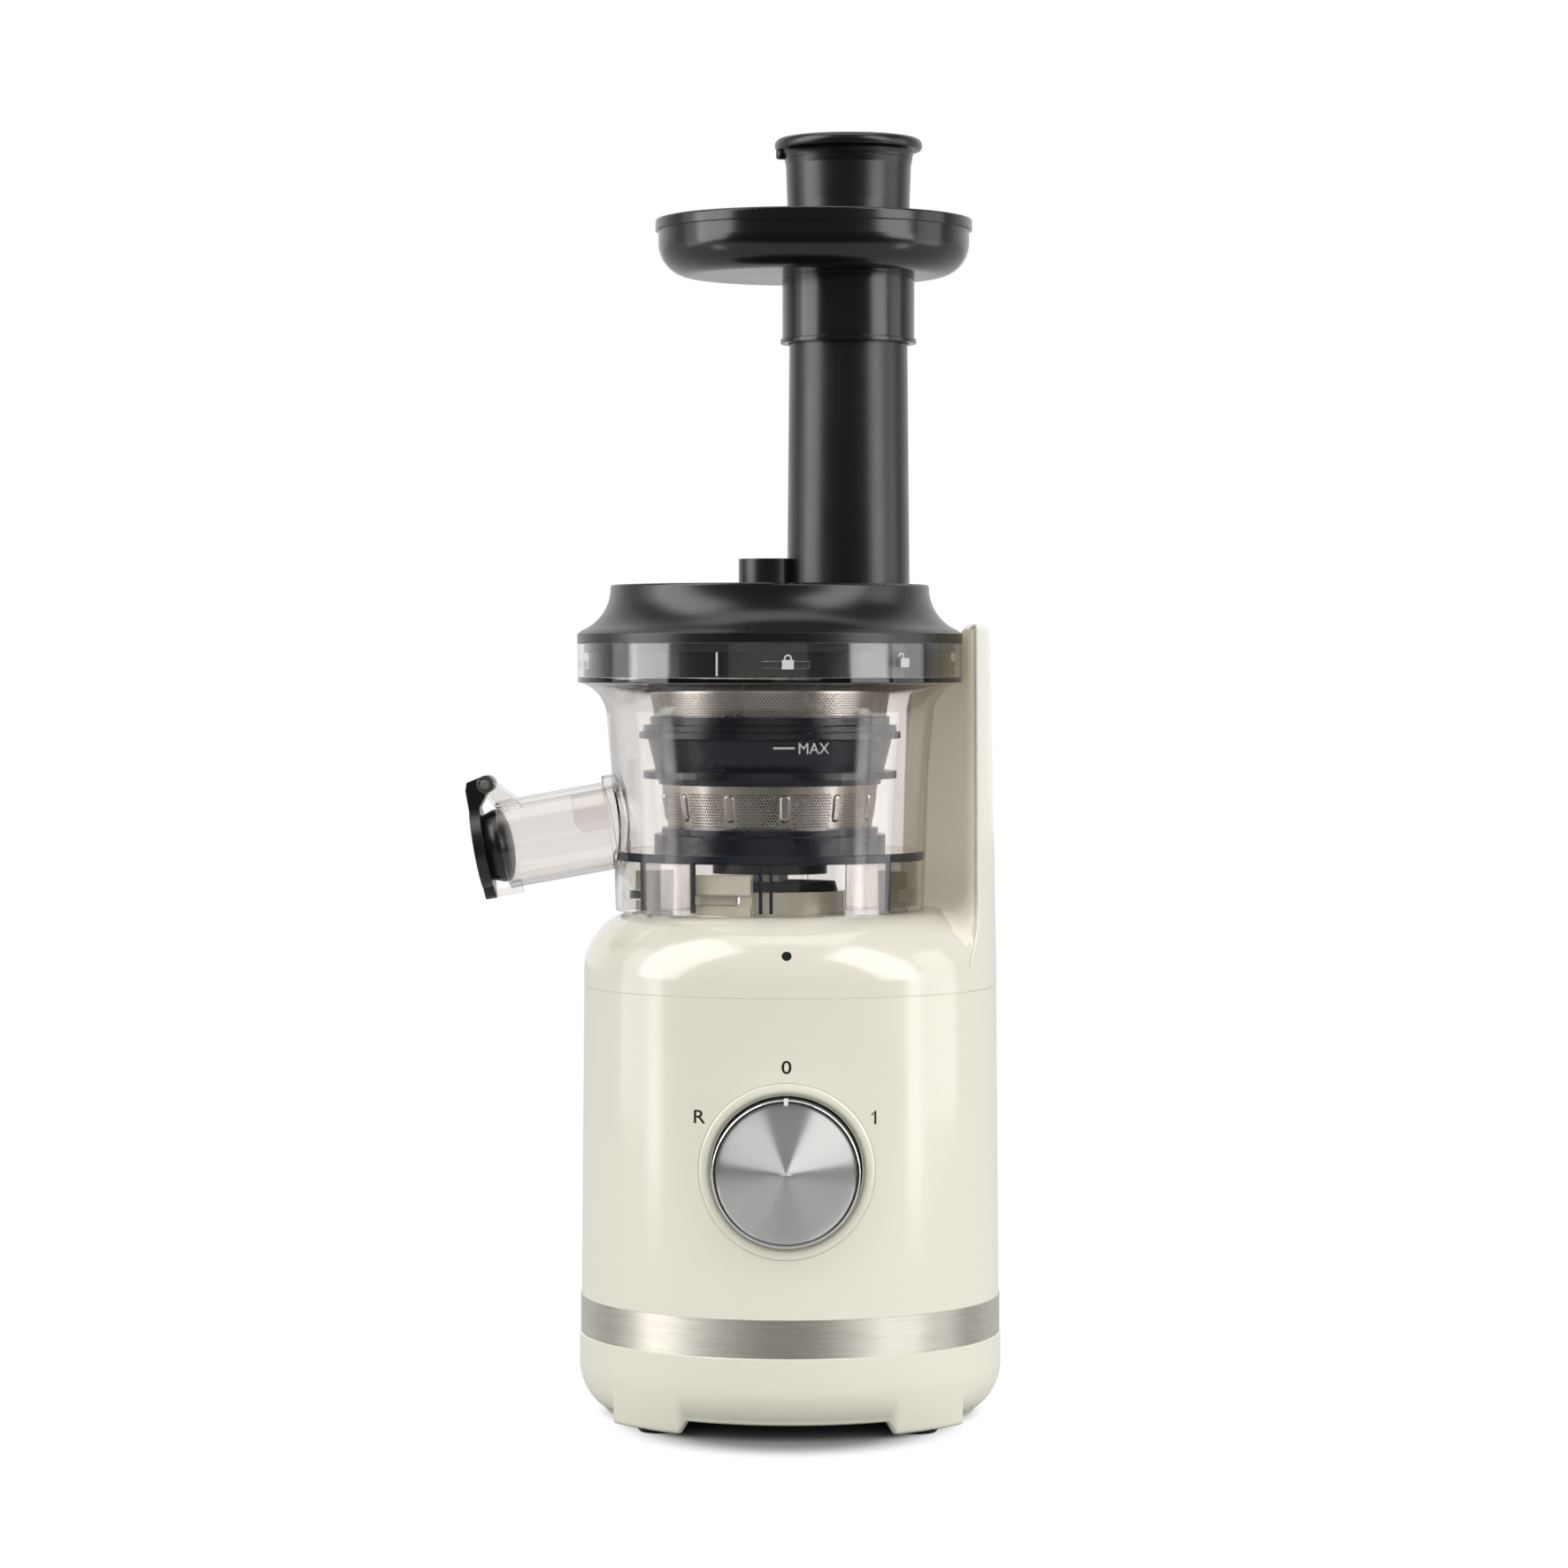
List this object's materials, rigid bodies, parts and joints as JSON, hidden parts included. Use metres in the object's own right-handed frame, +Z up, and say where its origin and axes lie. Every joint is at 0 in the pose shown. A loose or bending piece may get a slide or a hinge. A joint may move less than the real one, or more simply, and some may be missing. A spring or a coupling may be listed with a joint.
{
  "type": "cold press juicer",
  "caption": "Vertical cold press juicer: round motor base with side column and control knob, clear bowl with strainer, auger and capped spout, lid with feed tube, hopper tray and pusher.",
  "frame": {"origin": "on the worktop, on the axis of the round motor base", "axes": "+Z up; -Y out of the front with the knob; +X towards the side column, -X towards the juice spout"},
  "size_m": [0.1965, 0.1782, 0.4665],
  "materials": {
    "cream_plastic": "glossy moulded cream plastic",
    "black_satin": "satin black moulded plastic",
    "black_gloss": "glossy black moulded plastic",
    "dark_plastic": "dark blue-grey moulded plastic",
    "auger_plastic": "dark filled plastic",
    "smoky_clear": "smoky clear copolyester",
    "brushed_steel": "horizontally brushed",
    "chrome": "bright plated rim on moulded plastic",
    "spun_metal": "spun face",
    "plain_steel": "plain turned steel",
    "mesh_steel": "perforated stainless sheet",
    "lamination_steel": "stacked laminations",
    "cast_metal": "die cast",
    "copper_wire": "enamelled copper wire",
    "gear_plastic": "natural acetal",
    "circuit_board": "solder mask",
    "rubber": "matt black rubber",
    "silicone": "dark silicone"
  },
  "bodies": {
    "base": {"foot_shell": "cream_plastic", "main_housing": "cream_plastic", "trim_band": "brushed_steel", "top_cover": "cream_plastic", "bottom_plate": "dark_plastic", "rubber_feet": "rubber", "bottom_screws": "plain_steel", "cord_gland": "rubber", "knob_bezel": "cream_plastic", "rotary_switch": "dark_plastic", "control_board": "circuit_board", "run_capacitor": "cast_metal", "interlock_sensor": "circuit_board", "hub_seal": "rubber", "motor_stator": "lamination_steel", "stator_windings": "copper_wire", "motor_top_bracket": "cast_metal", "motor_bottom_bracket": "cast_metal", "motor_bearings": "plain_steel", "motor_bolts": "plain_steel", "gearbox_base": "cast_metal", "ring_gear": "gear_plastic", "gearbox_cover": "cast_metal", "gearbox_screws": "plain_steel", "output_bearing": "plain_steel"},
    "knob": {"knob_body": "chrome", "knob_face": "spun_metal", "knob_pointer": "chrome"},
    "auger_drive": {"auger": "auger_plastic", "auger_bush": "plain_steel", "drive_shaft": "plain_steel", "output_carrier": "cast_metal"},
    "upper_planet_a": {"upper_planet_a": "gear_plastic"},
    "upper_planet_b": {"upper_planet_b": "gear_plastic"},
    "upper_planet_c": {"upper_planet_c": "gear_plastic"},
    "lower_carrier": {"lower_carrier": "cast_metal", "upper_sun_gear": "plain_steel"},
    "lower_planet_a": {"lower_planet_a": "gear_plastic"},
    "lower_planet_b": {"lower_planet_b": "gear_plastic"},
    "lower_planet_c": {"lower_planet_c": "gear_plastic"},
    "rotor": {"motor_rotor": "lamination_steel", "motor_shaft": "plain_steel", "cooling_fan": "dark_plastic", "lower_sun_gear": "plain_steel"},
    "bowl": {"bowl": "smoky_clear", "bowl_floor_seal": "silicone", "pulp_seal": "silicone", "strainer_base_ring": "dark_plastic", "lower_mesh": "mesh_steel", "strainer_frame": "dark_plastic", "upper_mesh": "mesh_steel", "cap_pin": "plain_steel"},
    "cap": {"spout_cap": "black_satin", "cap_plug": "black_satin"},
    "lid": {"lid": "black_satin", "lid_seal": "silicone", "lid_magnet": "plain_steel"},
    "tray": {"hopper_tray": "black_gloss"},
    "pusher": {"pusher": "black_satin", "pusher_cap": "black_satin"}
  },
  "joints": [
    {"name": "auger_spin", "type": "hinge", "parent": "base", "child": "auger_drive", "pos_m": [-0.0075, 0, 0.2], "axis": [0, 0, 1], "continuous": true},
    {"name": "upper_planet_a_spin", "type": "hinge", "parent": "auger_drive", "child": "upper_planet_a", "pos_m": [0.01125, 0, 0.148], "axis": [0, 0, 1], "continuous": true},
    {"name": "upper_planet_b_spin", "type": "hinge", "parent": "auger_drive", "child": "upper_planet_b", "pos_m": [-0.01688, 0.01624, 0.148], "axis": [0, 0, 1], "continuous": true},
    {"name": "upper_planet_c_spin", "type": "hinge", "parent": "auger_drive", "child": "upper_planet_c", "pos_m": [-0.01688, -0.01624, 0.148], "axis": [0, 0, 1], "continuous": true},
    {"name": "lower_planet_a_spin", "type": "hinge", "parent": "lower_carrier", "child": "lower_planet_a", "pos_m": [0.01125, 0, 0.13], "axis": [0, 0, 1], "continuous": true},
    {"name": "lower_planet_b_spin", "type": "hinge", "parent": "lower_carrier", "child": "lower_planet_b", "pos_m": [-0.01688, 0.01624, 0.13], "axis": [0, 0, 1], "continuous": true},
    {"name": "lower_planet_c_spin", "type": "hinge", "parent": "lower_carrier", "child": "lower_planet_c", "pos_m": [-0.01688, -0.01624, 0.13], "axis": [0, 0, 1], "continuous": true},
    {"name": "lower_carrier_spin", "type": "hinge", "parent": "base", "child": "lower_carrier", "pos_m": [-0.0075, 0, 0.14], "axis": [0, 0, 1], "continuous": true},
    {"name": "rotor_spin", "type": "hinge", "parent": "base", "child": "rotor", "pos_m": [-0.0075, 0, 0.09], "axis": [0, 0, 1], "continuous": true},
    {"name": "knob_turn", "type": "hinge", "parent": "base", "child": "knob", "pos_m": [0, -0.08, 0.0958], "axis": [0, 1, 0], "range_deg": [-60, 60]},
    {"name": "bowl_turn", "type": "hinge", "parent": "base", "child": "bowl", "pos_m": [-0.0075, 0, 0.1845], "axis": [0, 0, 1], "range_deg": [0, 25]},
    {"name": "lid_turn", "type": "hinge", "parent": "bowl", "child": "lid", "pos_m": [-0.0075, 0, 0.282], "axis": [0, 0, 1], "range_deg": [0, 39]},
    {"name": "cap_hinge", "type": "hinge", "parent": "bowl", "child": "cap", "pos_m": [-0.1117, 0, 0.23037], "axis": [0, 1, 0], "range_deg": [0, 110]},
    {"name": "tray_lift", "type": "slide", "parent": "lid", "child": "tray", "axis": [0, 0, 1], "range_m": [0, 0.03]},
    {"name": "pusher_slide", "type": "slide", "parent": "tray", "child": "pusher", "axis": [0, 0, 1], "range_m": [0, 0.095]}
  ],
  "couplings": [
    {"joint": "upper_planet_a_spin", "follows": "auger_spin", "ratio": -2.6667},
    {"joint": "upper_planet_b_spin", "follows": "auger_spin", "ratio": -2.6667},
    {"joint": "upper_planet_c_spin", "follows": "auger_spin", "ratio": -2.6667},
    {"joint": "lower_planet_a_spin", "follows": "auger_spin", "ratio": -13.333},
    {"joint": "lower_planet_b_spin", "follows": "auger_spin", "ratio": -13.333},
    {"joint": "lower_planet_c_spin", "follows": "auger_spin", "ratio": -13.333},
    {"joint": "lower_carrier_spin", "follows": "auger_spin", "ratio": 5},
    {"joint": "rotor_spin", "follows": "auger_spin", "ratio": 25}
  ]
}
